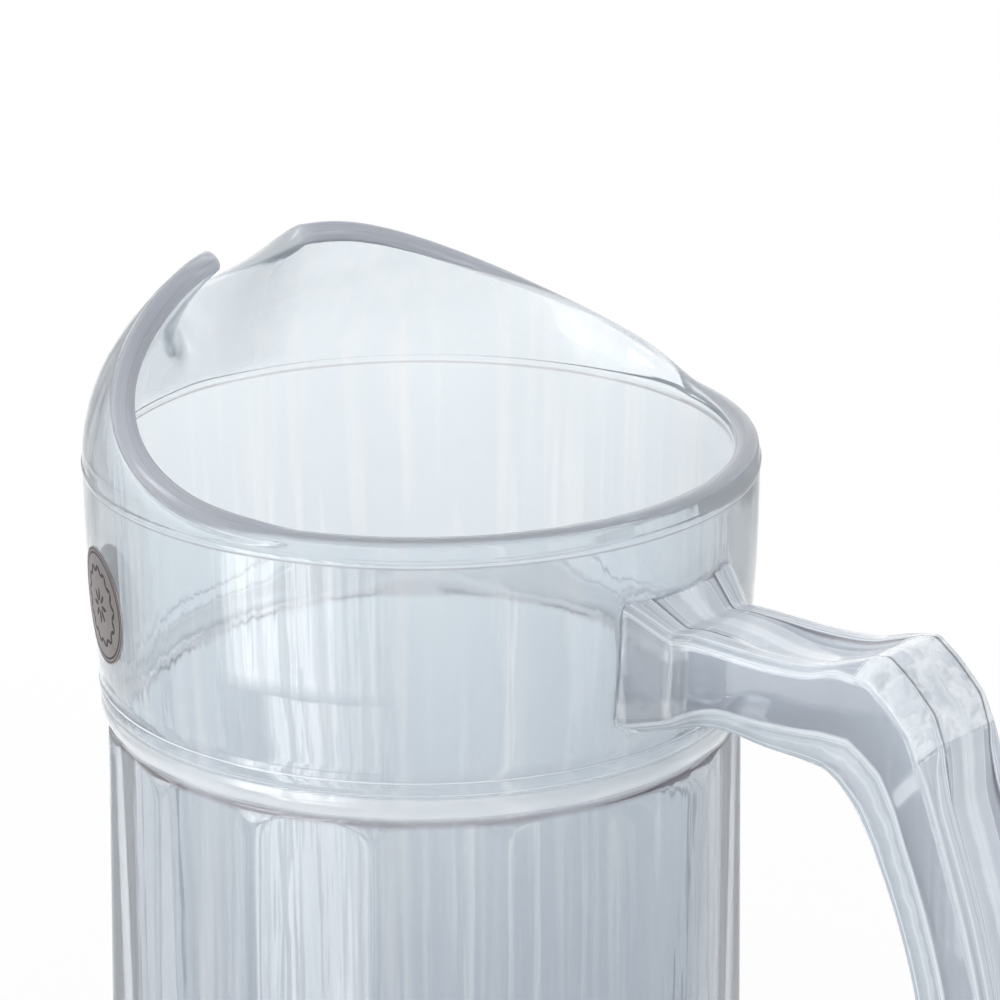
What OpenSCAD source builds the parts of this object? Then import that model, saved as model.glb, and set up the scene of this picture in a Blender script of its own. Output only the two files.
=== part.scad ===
/* [Vessel] */
// Outer radius at the mould line under the rim
collar_r = 63; // [55:0.5:72]
// Height of the mould line above the table
rim_line_z = 190; // [170:1:215]
// Thickness of the wall at the mould line
wall_t = 5; // [4:0.25:6]
// Thickness of the glass floor
base_t = 12; // [9:0.5:16]
// How far the fluted body stands in from the mould line at the groove
body_inset = 2.6; // [1:0.1:5]
// How much the body widens from the groove down to the table
body_spread = 2; // [0:0.1:4]
// Thickness of the wall at the floor
floor_wall_t = 10.4; // [7:0.1:14]
// Radius of the round edge under the base
base_round = 9; // [4:0.5:11]

/* [Collar] */
// Height of the plain band from the groove to the mould line
collar_h = 51; // [40:1:60]
// How far the band draws in at its foot
collar_drop = 2.4; // [1:0.1:4]
// Height of the bead under the band
bead_h = 5.8; // [4:0.2:8]
// How far the bead stands out of the foot of the band
bead_bulge = 0.8; // [0.3:0.1:1.5]
// Height of the groove between the bead and the fluted body
groove_h = 1.6; // [1:0.1:3]
// Depth of the groove
groove_depth = 0.8; // [0.4:0.1:1.4]

/* [Flutes] */
// Number of flat panels round the body, with one place left round behind the handle
flute_count = 16; // [12:1:20]
// Depth of a panel at its middle
flute_depth = 0.95; // [0.6:0.05:1.2]
// Height of the round shoulder where the panels start
shoulder_h = 6; // [4:0.5:10]

/* [Rim and spout] */
// Thickness of the glass along the rim
rim_t = 4.4; // [3.5:0.1:5]
// Height of the rim over the mould line on the handle side
rim_low = 3.2; // [2.6:0.1:5]
// Height of the two shoulders beside the spout over the mould line
ear_h = 32.5; // [20:0.5:40]
// Angle from the spout to a shoulder
ear_angle = 20; // [18:1:30]
// How far the shoulders lean in
ear_inset = 17; // [8:0.5:20]
// Angle from the spout at which the lean ends
lean_end_angle = 89; // [75:1:95]
// Angle from the spout at which the rise ends
rise_end_angle = 112; // [105:1:130]
// How far the rim bellies out where the lean ends
side_flare = 3.2; // [0:0.1:4]
// Half angle of the pouring lip
lip_half_angle = 17; // [15:1:20]
// How far the lip reaches out past the line of the shoulders
lip_reach = 25; // [14:0.5:27]
// How far the lip drops below the shoulders
lip_drop = 17.5; // [8:0.5:20]

/* [Handle] */
// Reach of the handle beyond the collar
handle_reach = 77; // [64:1:85]
// Drop of the arm's top below the mould line
handle_drop = 16.75; // [14:0.25:24]
// Height of the lower root's foot above the table
handle_foot_z = 30.5; // [22:0.5:45]
// Width of the handle
handle_w = 23; // [18:0.5:27]
// Depth of the hollow along the top of the arm and the back of the grip
trough_depth = 1.8; // [0.5:0.1:2.5]
// Bevel along the handle's outer edges
handle_bevel = 1.2; // [0.6:0.1:2]

/* [Label] */
// Diameter of the round foil label
label_d = 22; // [16:0.5:28]
// Thickness of the foil
label_t = 0.2; // [0.1:0.05:0.4]
// Angle round the collar from the handle to the label
label_angle = -118; // [-150:1:-100]
// Drop of the label's middle below the mould line
label_drop = 23; // [20:0.5:28]

/* [Hidden] */
$fn = 128;
glass = [0.82, 0.87, 0.91, 0.55];
foil = [0.62, 0.60, 0.58];
overrun = 1;
round_steps = 8;

// Heights and radii that follow from the sizes above
groove_z = rim_line_z - collar_h;
bead_z = groove_z + bead_h;
band_h = rim_line_z - bead_z;
mouth_r = collar_r - wall_t;
mid_r = collar_r - wall_t / 2;
band_foot_r = collar_r - collar_drop;
flute_top_r = collar_r - body_inset;
base_r = flute_top_r + body_spread;
floor_r = base_r - floor_wall_t;
groove_r = flute_top_r - groove_depth;
handle_h = rim_line_z - handle_drop - handle_foot_z;

// A smooth step from 0 to 1
function ease(t) = (1 - cos(180 * min(max(t, 0), 1))) / 2;
function blend(from, to, t) = from + (to - from) * t;
function inside_r(z) = blend(floor_r, mouth_r, (z - base_t) / (rim_line_z - base_t));
function body_r(z) = blend(base_r, flute_top_r, z / groove_z);

// The band keeps straight at the mould line and draws in towards its foot
draw_in_power = 2.5;
function band_r(z) = collar_r - collar_drop * pow((rim_line_z - z) / band_h, draw_in_power);

// Outer outline of the fluted body, from the table up to the groove
base_arc = [for (i = [0:round_steps]) let (a = 90 * i / round_steps)
    [body_r(base_round) - base_round * (1 - sin(a)), base_round * (1 - cos(a))]];
shoulder_foot_z = groove_z - shoulder_h;
shoulder_arc = [for (i = [0:round_steps]) let (a = 90 * i / round_steps)
    [blend(body_r(shoulder_foot_z), groove_r, 1 - cos(a)), blend(shoulder_foot_z, groove_z, sin(a))]];

// Outer outline of the collar, from the groove up to the mould line
bead_foot_z = groove_z + groove_h / 2;
bead_arc = [for (i = [0:round_steps]) let (a = 180 * i / round_steps)
    [blend(groove_r, band_foot_r, i / round_steps) + bead_bulge * sin(a),
     blend(bead_foot_z, bead_z, i / round_steps)]];
band_steps = 10;
band_line = [for (i = [1:band_steps]) let (z = blend(bead_z, rim_line_z, i / band_steps)) [band_r(z), z]];
collar_line = concat([[groove_r, groove_z]], bead_arc, band_line);

// Flat panels pressed into the body, leaving a narrow round strip between neighbours
flute_lean = atan((base_r - flute_top_r) / groove_z);
module flute_cuts() {
    for (i = [1:flute_count - 1])
        rotate([0, 0, i * 360 / flute_count])
            translate([base_r - flute_depth, 0, 0])
                rotate([0, -flute_lean, 0])
                    translate([0, -collar_r / 2, -collar_r])
                        cube([collar_r, collar_r, groove_z + 2 * collar_r]);
}

// The glass floor with its round edge
module base() {
    color(glass) difference() {
        rotate_extrude() polygon(concat(
            [[0, 0]], base_arc, [[body_r(base_t), base_t], [0, base_t]]));
        flute_cuts();
    }
}

// The panelled wall between the floor and the groove
module fluted_wall() {
    color(glass) difference() {
        rotate_extrude() polygon(concat(
            [[floor_r, base_t], [body_r(base_t), base_t]], shoulder_arc, [[inside_r(groove_z), groove_z]]));
        flute_cuts();
    }
}

// The plain band with the bead at its foot
module collar() {
    color(glass) rotate_extrude() polygon(concat(
        [[inside_r(groove_z), groove_z]], collar_line, [[mouth_r, rim_line_z]]));
}

// Rim and spout: each column of the wall is a curve from the mould line up to the rim.
// Angles are counted from the spout, which points along -X.
crown_share = 0.32;
crown_h = rim_t * crown_share;
lean_start_share = 0.52;
function lip(a) = 1 - ease(abs(a) / lip_half_angle);
function rise(a) = 1 - ease((abs(a) - ear_angle) / (rise_end_angle - ear_angle));
function lean(a) = 1 - ease((abs(a) - ear_angle) / (lean_end_angle - ear_angle));
function flare(a) = (1 - lean(a)) * (1 - ease((abs(a) - lean_end_angle) / (rise_end_angle - lean_end_angle)));
function rim_h(a) = blend(rim_low, ear_h, rise(a)) - lip_drop * lip(a) - crown_h;
function rim_r(a) = mid_r - ear_inset * lean(a) + lip_reach * lip(a) + side_flare * flare(a);
function wall_mid(a, t) = let (r = blend(mid_r, rim_r(a), t * t))
    [-r * cos(a), r * sin(a), rim_line_z + rim_h(a) * (2 * lean_start_share * t * (1 - t) + t * t)];

// Direction out of the wall, and the points of one column from the inside over the rim to the outside
probe_angle = 0.05;
probe_share = 0.002;
function unit(v) = v / norm(v);
function wall_up(a, t) = unit(wall_mid(a, t + probe_share) - wall_mid(a, t - probe_share));
function wall_out(a, t) = unit(cross(wall_up(a, t), wall_mid(a + probe_angle, t) - wall_mid(a - probe_angle, t)));
function half_t(t) = blend(wall_t, rim_t, t) / 2;
wall_rows = 5;
crown_rows = 6;
function rim_column(a) = concat(
    [for (i = [0:wall_rows - 1]) let (t = i / wall_rows) wall_mid(a, t) - half_t(t) * wall_out(a, t)],
    [for (i = [0:crown_rows]) let (b = 180 * i / crown_rows)
        wall_mid(a, 1) - half_t(1) * cos(b) * wall_out(a, 1) + crown_h * sin(b) * wall_up(a, 1)],
    [for (i = [wall_rows - 1:-1:0]) let (t = i / wall_rows) wall_mid(a, t) + half_t(t) * wall_out(a, t)]);
half_columns = 54;
crowding = 1.45;
column_angles = [for (i = [1 - half_columns:half_columns])
    sign(i) * 180 * pow(abs(i) / half_columns, crowding)];

// A closed skin over rings of points, which closes round on itself or ends in two flat faces
function middle(ring) = [for (p = ring) 1] * ring / len(ring);
module skin(rings, closed) {
    n = len(rings);
    m = len(rings[0]);
    sides = [for (i = [0:n - (closed ? 1 : 2)], j = [0:m - 1], k = [0, 1])
        let (j2 = (j + 1) % m, i2 = (i + 1) % n)
        k == 0 ? [i * m + j, i2 * m + j, i * m + j2] : [i * m + j2, i2 * m + j, i2 * m + j2]];
    ends = closed ? [] : [for (j = [0:m - 1], k = [0, 1]) let (j2 = (j + 1) % m)
        k == 0 ? [n * m, j, j2] : [n * m + 1, (n - 1) * m + j2, (n - 1) * m + j]];
    polyhedron(concat([for (ring = rings) each ring], [middle(rings[0]), middle(rings[n - 1])]),
        concat(sides, ends));
}

// The raised rim with its two shoulders and the pouring lip
module spout_rim() {
    color(glass) skin([for (a = column_angles) rim_column(a)], true);
}

// Handle stations in its own plane, as shares of the reach and height: outer line, inner line,
// then shares of the width, of the straight side, of the trough and of the bevel
station_shares = [
    [-0.060, -0.040, -0.060, 0.150, 1.42, 0.88, 0, 1],
    [-0.010, -0.030, -0.010, 0.150, 1.34, 0.88, 0, 1],
    [0.073, 0.004, 0.063, 0.140, 1.02, 0.86, 0, 1],
    [0.122, 0.000, 0.115, 0.131, 0.98, 0.80, 0, 1],
    [0.220, 0.000, 0.200, 0.127, 0.98, 0.68, 0.2, 1],
    [0.335, 0.000, 0.305, 0.133, 0.98, 0.64, 1, 1],
    [0.455, -0.005, 0.408, 0.135, 0.98, 0.61, 1, 1],
    [0.545, -0.020, 0.474, 0.140, 0.98, 0.59, 0.8, 1],
    [0.600, -0.030, 0.505, 0.150, 1.00, 0.57, 0, 2.4],
    [0.645, -0.035, 0.524, 0.160, 1.00, 0.55, 0, 3.0],
    [0.705, -0.012, 0.543, 0.171, 1.00, 0.53, 0, 3.0],
    [0.770, 0.022, 0.564, 0.185, 1.00, 0.50, 0, 3.0],
    [0.797, 0.060, 0.581, 0.200, 1.00, 0.48, 0, 2.6],
    [0.803, 0.085, 0.600, 0.218, 0.98, 0.46, 0, 1.6],
    [0.824, 0.125, 0.619, 0.239, 0.98, 0.45, 0.8, 1],
    [0.864, 0.180, 0.652, 0.276, 0.98, 0.45, 1, 1],
    [0.915, 0.255, 0.692, 0.329, 0.98, 0.45, 1, 1],
    [0.968, 0.355, 0.732, 0.400, 0.98, 0.45, 1, 1],
    [0.998, 0.465, 0.753, 0.478, 0.98, 0.45, 1, 1],
    [0.995, 0.580, 0.748, 0.562, 0.98, 0.45, 1, 1],
    [0.945, 0.690, 0.704, 0.645, 0.98, 0.46, 1, 1],
    [0.830, 0.790, 0.620, 0.712, 0.98, 0.47, 1, 1],
    [0.655, 0.870, 0.495, 0.766, 0.98, 0.49, 1, 1],
    [0.430, 0.930, 0.335, 0.808, 0.98, 0.52, 0.7, 1],
    [0.200, 0.965, 0.158, 0.834, 1.00, 0.58, 0, 1],
    [0.050, 0.985, 0.040, 0.840, 1.10, 0.66, 0, 1],
    [-0.060, 1.000, -0.060, 0.815, 1.25, 0.70, 0, 1]];
trough_share = 0.62;
trough_floor_share = 0.46;
inner_width_share = 0.64;
inner_round_share = 0.80;

// A station between two rows of the table, on a smooth curve through its neighbours
station_steps = 2;
last_row = len(station_shares) - 1;
function row(i) = station_shares[min(max(i, 0), last_row)];
function station(i, t) = let (a = row(i - 1), b = row(i), c = row(i + 1), d = row(i + 2))
    b + t / 2 * (c - a + t * (2 * a - 5 * b + 4 * c - d + t * (3 * (b - c) + d - a)));
stations = concat([for (i = [0:last_row - 1], k = [0:station_steps - 1]) station(i, k / station_steps)],
    [row(last_row)]);

// One cross section: half of it from the trough round to the inner face, then its mirror image
function handle_at(x_share, z_share) =
    [collar_r + handle_reach * x_share, rim_line_z - handle_drop - handle_h * z_share];
function half_section(s, depth) = let (w = handle_w / 2 * s[4], g = max(trough_depth * s[6], 0)) [
    [w * trough_floor_share, g],
    [w * trough_share, 0],
    [w - handle_bevel * s[7], 0],
    [w, handle_bevel * s[7]],
    [w, depth * s[5]],
    [w * blend(1, inner_width_share, inner_round_share), depth * blend(s[5], 1, inner_round_share)],
    [w * inner_width_share * inner_round_share, depth]];
function section(s) =
    let (outer = handle_at(s[0], s[1]), inner = handle_at(s[2], s[3]))
    let (depth = norm(inner - outer), down = (inner - outer) / depth, half = half_section(s, depth))
    let (flat = concat(half, [for (i = [len(half) - 1:-1:0]) [-half[i][0], half[i][1]]]))
    [for (p = flat) [outer[0] + down[0] * p[1], p[0], outer[1] + down[1] * p[1]]];

// The vessel's outer form, without its flutes
module vessel_form() {
    rotate_extrude() polygon(concat(
        [[0, 0]], base_arc, shoulder_arc, collar_line, [[0, rim_line_z]]));
}

// The handle, cut to the vessel at both of its roots
module handle() {
    color(glass) difference() {
        skin([for (s = stations) section(s)], false);
        vessel_form();
    }
}

// The round foil label, laid on the collar
module label() {
    color(foil) intersection() {
        difference() {
            rotate_extrude() polygon(concat(
                [for (p = band_line) p + [label_t, 0]], [[0, rim_line_z], [0, band_line[0][1]]]));
            vessel_form();
        }
        rotate([0, 0, label_angle]) translate([0, 0, rim_line_z - label_drop])
            rotate([0, 90, 0]) cylinder(d = label_d, h = collar_r + overrun);
    }
}

base();
fluted_wall();
collar();
spout_rim();
handle();
label();
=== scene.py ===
# %% [markdown]
# # A pressed glass beer pitcher
# A heavy jug for the bar: a panelled body, a plain collar, a rim that rises to two shoulders and a pouring lip,
# and a thick glass handle. A round foil label sits on the collar. The solids from the CAD model are the frame,
# and every piece here is made in the same place and size.

# %% Load the frame
import math

import bmesh
import bpy
import numpy as np
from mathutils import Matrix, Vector


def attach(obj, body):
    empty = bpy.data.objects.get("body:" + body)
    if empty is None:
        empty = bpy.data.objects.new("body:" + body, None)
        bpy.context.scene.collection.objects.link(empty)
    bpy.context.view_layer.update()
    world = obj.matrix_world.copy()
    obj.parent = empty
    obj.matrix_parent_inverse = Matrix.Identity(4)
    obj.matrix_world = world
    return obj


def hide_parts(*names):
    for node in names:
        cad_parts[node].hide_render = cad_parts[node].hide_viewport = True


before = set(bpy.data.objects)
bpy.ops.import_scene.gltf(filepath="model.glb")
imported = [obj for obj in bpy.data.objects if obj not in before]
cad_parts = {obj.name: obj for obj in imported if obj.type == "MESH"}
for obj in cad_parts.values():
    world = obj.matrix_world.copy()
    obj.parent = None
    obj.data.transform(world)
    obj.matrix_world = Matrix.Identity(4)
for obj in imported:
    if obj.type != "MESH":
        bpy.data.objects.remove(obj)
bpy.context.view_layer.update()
scene = bpy.context.scene
mm = 0.001

# %% [markdown]
# ## The camera
# The photograph looks down on the jug from about eighteen degrees, with the handle to the right of the front and
# the lip turned away to the left. A long lens keeps the round lines flat. The camera stands where a fit of the
# collar's round lines puts it, so the render can be laid over the photograph. Light crosses many walls before it
# leaves a glass jug, so the limits on its bounces are raised here too.

# %% Camera
camera_place, looking = (0.5059, -0.5618, 0.4345), Vector((-0.6204, 0.7163, -0.3194))
light_bounces = 40
camera_data = bpy.data.cameras.new("camera")
camera_data.sensor_width, camera_data.lens, camera_data.clip_end = 36, 153.6, 20
camera = bpy.data.objects.new("camera", camera_data)
camera.location = camera_place
camera.rotation_euler = looking.to_track_quat("-Z", "Y").to_euler()
scene.collection.objects.link(camera)
scene.camera = camera
scene.view_settings.view_transform = "Standard"
for limit in ("max_bounces", "glossy_bounces", "transmission_bounces"):
    setattr(scene.cycles, limit, light_bounces)
print("camera stands", round(camera.location.length, 3), "m from the middle of the base")

# %% [markdown]
# ## Sums on sockets
# Node trees hold the rules for shapes and finishes. Wiring every sum by hand is long and hard to read, so one small
# class wraps an output socket: sums of wires and numbers are written as in Python, and each adds its Math node.
# Any other node comes from one method. The same class serves geometry and materials.


# %% Wires
class Wire:
    """An output socket of a node tree."""

    def __init__(self, tree, socket=None):
        self.tree, self.socket = tree, socket

    def node(self, kind, settings=None, sockets=None, out=0):
        """Adds a node: its settings first, then values or wires on its sockets. A list is several wires."""
        made = self.tree.nodes.new(kind)
        for name, value in (settings or {}).items():
            setattr(made, name, value)
        for name, value in (sockets or {}).items():
            for one in value if isinstance(value, list) else [value]:
                if isinstance(one, Wire):
                    self.tree.links.new(one.socket, made.inputs[name])
                else:
                    made.inputs[name].default_value = one
        return Wire(self.tree, made.outputs[out])

    def twin(self, out):
        """Another output of the same node."""
        return Wire(self.tree, self.socket.node.outputs[out])

    def maths(self, operation, *others):
        """A Math node with this wire first."""
        return self.node("ShaderNodeMath", {"operation": operation}, dict(enumerate((self, *others))))

    def vector(self, operation, *others, out=0):
        """A Vector Math node with this wire first."""
        return self.node("ShaderNodeVectorMath", {"operation": operation}, dict(enumerate((self, *others))), out)

    def __add__(self, other):
        return self.maths("ADD", other)

    def __sub__(self, other):
        return self.maths("SUBTRACT", other)

    def __mul__(self, other):
        return self.maths("MULTIPLY", other)

    def __truediv__(self, other):
        return self.maths("DIVIDE", other)

    def __rsub__(self, other):
        return self.node("ShaderNodeMath", {"operation": "SUBTRACT"}, {0: other, 1: self})

    __radd__ = __add__
    __rmul__ = __mul__


def smooth_step(share):
    """A smooth step from 0 to 1, as half a cosine wave."""
    return (1 - (share.maths("MAXIMUM", 0).maths("MINIMUM", 1) * math.pi).maths("COSINE")) * 0.5


print("wires ready")

# %% [markdown]
# ## Geometry trees
# A tree is built in the script with named inputs. Its modifier is set by the sockets' identifiers, the evaluated
# result becomes a plain mesh, and the blank with its modifier goes. Applying the modifier would do the same by way
# of the window's selection, which a script is better off without.


# %% Tree helpers
def new_tree(name, inputs, output):
    """A geometry tree with inputs {label: (socket kind, value)} and one output. Returns it with its input wires."""
    tree = bpy.data.node_groups.new(name, "GeometryNodeTree")
    for label, (kind, value) in inputs.items():
        socket = tree.interface.new_socket(label, in_out="INPUT", socket_type="NodeSocket" + kind)
        if value is not None:
            socket.default_value = value
    tree.interface.new_socket(output[0], in_out="OUTPUT", socket_type="NodeSocket" + output[1])
    entry = tree.nodes.new("NodeGroupInput")
    return tree, {label: Wire(tree, entry.outputs[label]) for label in inputs}


def close_tree(wire):
    """Makes a wire the tree's output."""
    wire.tree.links.new(wire.socket, wire.tree.nodes.new("NodeGroupOutput").inputs[0])


def finished(wire, material):
    """Ends a tree in a smooth, plain form of one material."""
    smooth = wire.node("GeometryNodeSetShadeSmooth", sockets={"Geometry": wire})
    whole = smooth.node("GeometryNodeRealizeInstances", sockets={"Geometry": smooth})
    close_tree(whole.node("GeometryNodeSetMaterial", sockets={"Geometry": whole, "Material": material}))


def link(name, mesh):
    """A new object in the scene."""
    made = bpy.data.objects.new(name, mesh)
    scene.collection.objects.link(made)
    return made


def new_mesh(name, points, faces, marks=None):
    """A mesh of points and faces, with values that its points carry."""
    mesh = bpy.data.meshes.new(name)
    mesh.from_pydata(points, [], faces)
    for key, values in (marks or {}).items():
        values = np.asarray(values, np.float32).ravel()
        mesh.attributes.new(key, "FLOAT", "POINT").data.foreach_set("value", values)
    return mesh


def through_tree(name, blank, tree, values):
    """Runs the blank through a geometry tree whose inputs get these values. The blank goes."""
    modifier = blank.modifiers.new("rule", "NODES")
    modifier.node_group = tree
    for item in tree.interface.items_tree:
        if item.in_out == "INPUT" and item.name in values:
            modifier[item.identifier] = values[item.name]
    depsgraph = bpy.context.evaluated_depsgraph_get()
    mesh = bpy.data.meshes.new_from_object(blank.evaluated_get(depsgraph), depsgraph=depsgraph)
    bpy.data.objects.remove(blank)
    return link(name, mesh)


print("tree helpers ready")

# %% [markdown]
# ## The blank
# The jug is pressed in a mould, so its shape is a rule: a turned outline with panels pressed into the body and a rim
# that rises towards the lip. The blank is the turned outline alone, as rows of points that run from under the base
# up the outside, over the rim and down the inside to the floor. Rows of the rim carry how far up they are, on which
# side of the wall and how far over the crown, for the rule that comes next. A Screw modifier could turn an outline
# too, but its points would carry none of this.

# %% Sizes of the vessel
collar_r, mould_z, wall_t, rim_t = 63 * mm, 190 * mm, 5 * mm, 4.4 * mm
groove_z, groove_h, groove_r = 139 * mm, 1.6 * mm, 59.6 * mm
bead_h, bead_bulge, collar_drop, draw_in = 5.8 * mm, 0.8 * mm, 2.4 * mm, 2.5
base_r, flute_top_r, base_round, shoulder_h = 62.4 * mm, 60.4 * mm, 9 * mm, 6 * mm
base_t, floor_r, floor_round = 12 * mm, 52 * mm, 6 * mm
mouth_r, band_foot_r, bead_z = collar_r - wall_t, collar_r - collar_drop, groove_z + bead_h


def body_r(z):
    """Radius of the body before the panels are pressed."""
    return base_r + (flute_top_r - base_r) * z / groove_z


def band_r(z):
    """Radius of the collar's plain band, drawn in towards the bead."""
    return collar_r - collar_drop * ((mould_z - z) / (mould_z - bead_z)) ** draw_in


def inside_r(z):
    """Radius of the inside wall."""
    return floor_r + (mouth_r - floor_r) * (z - base_t) / (mould_z - base_t)


print("wall at the groove", round((groove_r - inside_r(groove_z)) / mm, 2), "mm")

# %% Rows of the body
mark_names = ("rim", "share", "side", "crown", "pressed", "edge", "line", "cap", "lap", "bar")
turned = dict.fromkeys(mark_names, 0)
quarter_rows, body_rows, bead_rows = 8, 18, 10
quarter = [math.pi / 2 * i / quarter_rows for i in range(1, quarter_rows + 1)]
foot_r, shoulder_z = body_r(base_round), groove_z - shoulder_h
shoulder_r = body_r(shoulder_z)
outside = [(14 * mm, 0), (28 * mm, 0), (42 * mm, 0), (foot_r - base_round, 0)]
outside += [(foot_r - base_round * (1 - math.sin(a)), base_round * (1 - math.cos(a))) for a in quarter]
outside += [(body_r(z), z) for z in np.linspace(base_round, shoulder_z, body_rows)[1:]]
outside += [
    (shoulder_r + (groove_r - shoulder_r) * (1 - math.cos(a)), shoulder_z + shoulder_h * math.sin(a)) for a in quarter
]
rows = [dict(turned, r=r, z=z, pressed=1) for r, z in outside]
print("rows of the body", len(rows))

# %% Rows of the collar
bead_foot_z = groove_z + groove_h / 2
for t in np.arange(bead_rows + 1) / bead_rows:
    bulge = bead_bulge * math.sin(math.pi * t)
    r, z = groove_r + (band_foot_r - groove_r) * t + bulge, bead_foot_z + (bead_z - bead_foot_z) * t
    rows.append(dict(turned, r=r, z=z))
ledge_steps = ((0.15, 0.1), (0.35, 0.24), (0.6, 0.28), (2.5, 0.28), (2.75, 0.22), (2.95, 0.08), (3.1, 0))
mould_steps = ((0, 0), (0.15, 0.14), (0.35, 0.2), (1.1, 0.2), (1.3, 0.14), (1.45, 0))
band_low, band_high, band_rows = bead_z + 3.1 * mm, mould_z - 1.9 * mm, 16


def ridge(foot_z, steps):
    """Rows of a low ridge round the band, as steps in mm up from its foot and out of the band."""
    return [dict(turned, r=band_r(foot_z + up * mm) + out * mm, z=foot_z + up * mm) for up, out in steps]


rows += ridge(bead_z, ledge_steps)
rows += [dict(turned, r=band_r(z), z=z) for z in np.linspace(band_low, band_high, band_rows)[1:]]
rows += ridge(mould_z - 1.55 * mm, mould_steps)
rows.append(dict(turned, r=collar_r, z=mould_z))
print("rows with the collar", len(rows))

# %% Rows of the rim and the inside
wall_rows, crown_rows, inside_rows = 12, 12, 24
shares = [i / wall_rows for i in range(1, wall_rows)]
over_turns = [math.pi * i / crown_rows for i in range(crown_rows + 1)]
lifted = dict(turned, rim=1, r=collar_r, z=mould_z)
rows += [dict(lifted, share=t, side=1) for t in shares]
rows += [dict(lifted, share=1, side=math.cos(a), crown=math.sin(a)) for a in over_turns]
rows += [dict(lifted, share=t, side=-1) for t in reversed(shares)]
fillet_z = base_t + floor_round
corner_r = inside_r(fillet_z) - floor_round
rows += [dict(turned, r=inside_r(z), z=z) for z in np.linspace(mould_z, fillet_z, inside_rows)]
rows += [
    dict(turned, r=corner_r + floor_round * math.cos(a), z=fillet_z - floor_round * math.sin(a)) for a in quarter
]
rows += [dict(turned, r=r, z=base_t) for r in (36 * mm, 24 * mm, 12 * mm)]
print("rows in the blank", len(rows))

# %% Mesh of the blank
columns = 512


def turned_blank(name, rows):
    """Turns the rows about +Z, closed by a point under the base and one on the floor. Turns count from the lip."""
    turn = np.tile(np.arange(columns) * 2 * math.pi / columns - math.pi, len(rows))
    spread = {key: np.repeat([row[key] for row in rows], columns) for key in rows[0]}
    points = np.stack([-spread["r"] * np.cos(turn), spread["r"] * np.sin(turn), spread["z"]], 1)
    under, floor, last = len(points), len(points) + 1, len(points) - columns
    points = np.vstack([points, [[0, 0, rows[0]["z"]], [0, 0, rows[-1]["z"]]]])
    beside = [(j + 1) % columns for j in range(columns)]
    faces = [
        (i * columns + j, (i + 1) * columns + j, (i + 1) * columns + beside[j], i * columns + beside[j])
        for i in range(len(rows) - 1)
        for j in range(columns)
    ]
    faces += [(under, j, beside[j]) for j in range(columns)]
    faces += [(floor, last + beside[j], last + j) for j in range(columns)]
    marks = {"turn": turn, "away": np.abs(turn), **{key: spread[key] for key in mark_names}}
    marks = {key: np.append(values, [0, 0]) for key, values in marks.items()}
    return link(name, new_mesh(name, points.tolist(), faces, marks))


blank = turned_blank("blank", rows)
print("blank has", len(blank.data.polygons), "faces")

# %% [markdown]
# ## The rule of the rim
# Every column of the rim wall is a curve that starts upright at the mould line and leans in towards its top. Height
# and lean depend on the angle from the lip: low and upright by the handle, high and leaning at the two shoulders, and
# between them the lip drops and reaches out. It could be sculpted, but a rule gives two equal shoulders. One small
# group gives the middle of the wall for any angle and share of the way up. The main tree asks it five times, because
# neighbouring points also give the direction out of the wall.

# %% Middle of the rim wall
rim_sizes = {
    "Middle radius": collar_r - wall_t / 2,
    "Mould line": mould_z,
    "Low height": 3.2 * mm,
    "Shoulder height": 32.49 * mm,
    "Shoulder angle": math.radians(20),
    "Shoulder inset": 17 * mm,
    "Lean end": math.radians(89),
    "Rise end": math.radians(112),
    "Side flare": 3.17 * mm,
    "Lip half angle": math.radians(17),
    "Lip reach": 24.98 * mm,
    "Lip drop": 17.5 * mm,
    "Crown height": 0.32 * rim_t,
    "Lean start": 0.52,
}
rim_inputs = {label: ("Float", value) for label, value in rim_sizes.items()}
wall_tree, at = new_tree(
    "rim_wall_middle", {"Turn": ("Float", 0), "Share": ("Float", 0), **rim_inputs}, ("Point", "Vector")
)


def on_circle(radius, turn, height):
    """A point by its radius, its turn from the lip and its height."""
    places = {"X": 0 - radius * turn.maths("COSINE"), "Y": radius * turn.maths("SINE"), "Z": height}
    return turn.node("ShaderNodeCombineXYZ", sockets=places)


from_lip_turn, way_up = at["Turn"].maths("ABSOLUTE"), at["Share"]
lip = 1 - smooth_step(from_lip_turn / at["Lip half angle"])
past_shoulder = from_lip_turn - at["Shoulder angle"]
rise = 1 - smooth_step(past_shoulder / (at["Rise end"] - at["Shoulder angle"]))
lean = 1 - smooth_step(past_shoulder / (at["Lean end"] - at["Shoulder angle"]))
flare = (1 - lean) * (1 - smooth_step((from_lip_turn - at["Lean end"]) / (at["Rise end"] - at["Lean end"])))
wall_h = at["Low height"] + (at["Shoulder height"] - at["Low height"]) * rise
wall_h = wall_h - at["Lip drop"] * lip - at["Crown height"]
top_out = at["Lip reach"] * lip + at["Side flare"] * flare - at["Shoulder inset"] * lean
wall_r = at["Middle radius"] + top_out * way_up * way_up
climb = at["Mould line"] + wall_h * (at["Lean start"] * 2 * way_up * (1 - way_up) + way_up * way_up)
close_tree(on_circle(wall_r, at["Turn"], climb))
print("rim wall group has", len(wall_tree.nodes), "nodes")

# %% [markdown]
# ## Pressing the jug
# The main tree presses the flat panels into the body and raises the rim. A panel is a plane, so its radius at an
# angle from the panel's middle is its distance over the cosine. The smaller of that and the round body wins, with a
# soft edge as the mould leaves it. The place behind the handle stays round. Cutting sixteen flats with booleans
# would leave hard edges that pressed glass doesn't have.

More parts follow.
